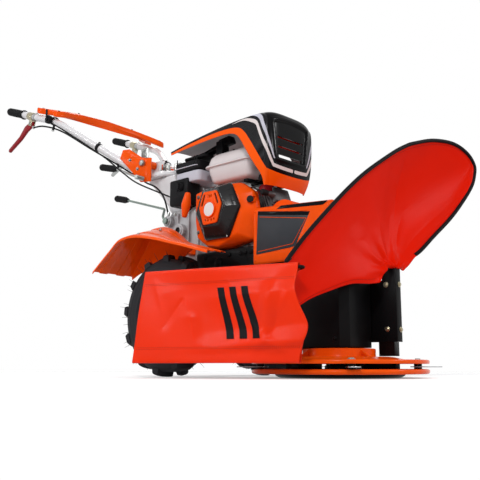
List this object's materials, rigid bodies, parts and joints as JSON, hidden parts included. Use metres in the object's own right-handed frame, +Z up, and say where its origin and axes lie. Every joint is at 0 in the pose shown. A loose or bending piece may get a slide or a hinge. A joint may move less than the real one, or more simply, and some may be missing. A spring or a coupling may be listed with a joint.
{
  "type": "walk-behind tractor with mower",
  "caption": "Walk-behind tractor with petrol engine, lugged tyres, steerable handlebars, levers and a front disc mower with swinging knives and canvas guards.",
  "frame": {"origin": "on the ground at the middle of the footprint", "axes": "+Y runs to the rear, towards the grips; -Y is the mower end; +Z is up; +X is the machine's left side as the operator stands behind it"},
  "size_m": [1.0268, 1.8893, 1.2129],
  "materials": {
    "orange_paint": "glossy orange powder coat on pressed steel",
    "white_paint": "glossy off-white enamel",
    "tank_shell": "glossy warm white tank shell",
    "black_paint": "satin black powder coat",
    "cast_alloy": "cast aluminium, fine grain, slightly dull",
    "black_plastic": "moulded black plastic, satin",
    "hood_plastic": "glossy black moulding with an orange lower band",
    "orange_plastic": "moulded orange plastic",
    "red_plastic": "moulded red plastic",
    "grey_plastic": "translucent grey moulding",
    "black_rubber": "soft black rubber",
    "tyre_rubber": "new tyre rubber, dull black",
    "zinc_plate": "bright zinc plating",
    "bright_steel": "ground steel",
    "canvas": "glossy coated canvas, red-orange"
  },
  "bodies": {
    "chassis": {"air_filter_base": "grey_plastic", "air_filter_cover": "black_plastic", "carburettor": "cast_alloy", "clutch_cable_lower": "black_rubber", "crankcase": "cast_alloy", "cylinder_head": "cast_alloy", "engine_frame": "black_paint", "fan_shroud": "orange_plastic", "fender_left": "orange_paint", "fender_right": "orange_paint", "fuel_tank": "tank_shell", "gearcase": "cast_alloy", "handlebar_column": "white_paint", "hood": "hood_plastic", "hood_bracket": "black_paint", "hoop_canvas": "canvas", "hoop_post": "black_paint", "hoop_rod": "black_paint", "mower_drive_tube": "black_paint", "mower_housing": "black_paint", "muffler": "black_paint", "nose_cover": "orange_paint", "recoil_cover": "black_plastic", "recoil_plate": "orange_plastic", "side_arm": "black_paint", "side_canvas": "canvas", "switch_box": "black_plastic"},
    "wheels": {"axle_shaft": "bright_steel", "rim_left": "white_paint", "rim_right": "white_paint", "tyre_left": "tyre_rubber", "tyre_right": "tyre_rubber"},
    "rotor": {"rotor_lower_disc": "orange_paint", "rotor_upper_disc": "orange_paint"},
    "knife_a": {"knife_1": "bright_steel"},
    "knife_b": {"knife_2": "bright_steel"},
    "knife_c": {"knife_3": "bright_steel"},
    "knife_d": {"knife_4": "bright_steel"},
    "pan": {"skid_pan": "black_paint"},
    "turntable": {"turntable": "white_paint"},
    "handlebar": {"handlebar_head": "orange_paint", "handlebar_left": "white_paint", "handlebar_right": "white_paint", "crossbar": "orange_plastic", "grip_left": "black_rubber", "grip_right": "black_rubber", "lever_bracket_left": "zinc_plate", "lever_bracket_right": "zinc_plate", "throttle_body": "black_plastic", "clutch_cable_upper": "black_rubber", "throttle_cable": "black_rubber"},
    "clutch_lever": {"clutch_lever": "red_plastic"},
    "reverse_lever": {"reverse_lever": "red_plastic"},
    "throttle_lever": {"throttle_lever": "black_plastic"},
    "lock_lever": {"lock_lever": "zinc_plate"},
    "gear_lever": {"gear_lever": "zinc_plate"},
    "choke_lever": {"choke_lever": "black_plastic"},
    "engine_switch": {"engine_switch": "red_plastic"},
    "tank_cap": {"tank_cap": "black_plastic"},
    "starter_grip": {"starter_grip": "orange_plastic"}
  },
  "joints": [
    {"name": "wheel_spin", "type": "hinge", "parent": "chassis", "child": "wheels", "pos_m": [0.0198, -0.1482, 0.2075], "axis": [1, 0, 0], "continuous": true},
    {"name": "rotor_spin", "type": "hinge", "parent": "chassis", "child": "rotor", "pos_m": [0.0198, -0.6682, 0.05], "axis": [0, 0, 1], "continuous": true},
    {"name": "pan_spin", "type": "hinge", "parent": "chassis", "child": "pan", "pos_m": [0.0198, -0.6682, 0], "axis": [0, 0, 1], "continuous": true},
    {"name": "knife_swing_a", "type": "hinge", "parent": "rotor", "child": "knife_a", "pos_m": [0.18894, -0.84958, 0.0335], "axis": [0, 0, 1], "continuous": true},
    {"name": "knife_swing_b", "type": "hinge", "parent": "rotor", "child": "knife_b", "pos_m": [0.20118, -0.49906, 0.0335], "axis": [0, 0, 1], "continuous": true},
    {"name": "knife_swing_c", "type": "hinge", "parent": "rotor", "child": "knife_c", "pos_m": [-0.14934, -0.48682, 0.0335], "axis": [0, 0, 1], "continuous": true},
    {"name": "knife_swing_d", "type": "hinge", "parent": "rotor", "child": "knife_d", "pos_m": [-0.16158, -0.83734, 0.0335], "axis": [0, 0, 1], "continuous": true},
    {"name": "handlebar_yaw", "type": "hinge", "parent": "chassis", "child": "turntable", "pos_m": [0.0198, 0.1518, 0.8], "axis": [0, 0, 1], "range_deg": [-20, 20]},
    {"name": "handlebar_tilt", "type": "hinge", "parent": "turntable", "child": "handlebar", "pos_m": [0.0198, 0.1868, 0.842], "axis": [1, 0, 0], "range_deg": [-8, 8], "deforming": ["throttle_cable", "clutch_cable_upper"]},
    {"name": "clutch_squeeze", "type": "hinge", "parent": "handlebar", "child": "clutch_lever", "pos_m": [-0.2704, 0.7582, 1.0991], "axis": [1, 0, 0], "range_deg": [0, 40], "stiffness_Nm_per_rad": 0.6, "springref_deg": -28.65},
    {"name": "reverse_squeeze", "type": "hinge", "parent": "handlebar", "child": "reverse_lever", "pos_m": [0.31, 0.7582, 1.0991], "axis": [1, 0, 0], "range_deg": [0, 40], "stiffness_Nm_per_rad": 0.6, "springref_deg": -28.65},
    {"name": "throttle_turn", "type": "hinge", "parent": "handlebar", "child": "throttle_lever", "pos_m": [-0.2955, 0.5948, 1.076], "axis": [1, 0, 0], "range_deg": [0, 60]},
    {"name": "tilt_lock", "type": "hinge", "parent": "handlebar", "child": "lock_lever", "pos_m": [-0.1302, 0.1798, 0.776], "axis": [1, 0, 0], "range_deg": [-30, 0]},
    {"name": "gear_shift", "type": "hinge", "parent": "chassis", "child": "gear_lever", "pos_m": [-0.0737, 0.0668, 0.59], "axis": [1, 0, 0], "range_deg": [-10, 10]},
    {"name": "choke_turn", "type": "hinge", "parent": "chassis", "child": "choke_lever", "pos_m": [-0.0187, -0.0482, 0.7], "axis": [1, 0, 0], "range_deg": [0, 60]},
    {"name": "switch_turn", "type": "hinge", "parent": "chassis", "child": "engine_switch", "pos_m": [-0.099, -0.0462, 0.702], "axis": [1, 0, 0], "range_deg": [0, 90]},
    {"name": "cap_turn", "type": "hinge", "parent": "chassis", "child": "tank_cap", "pos_m": [0.0398, -0.2682, 0.8183], "axis": [0, 0, 1], "range_deg": [0, 90]},
    {"name": "starter_pull", "type": "slide", "parent": "chassis", "child": "starter_grip", "axis": [-0.3011, 0.7226, 0.6222], "range_m": [0, 0.5], "stiffness_N_per_m": 20, "springref_m": -0.1}
  ]
}
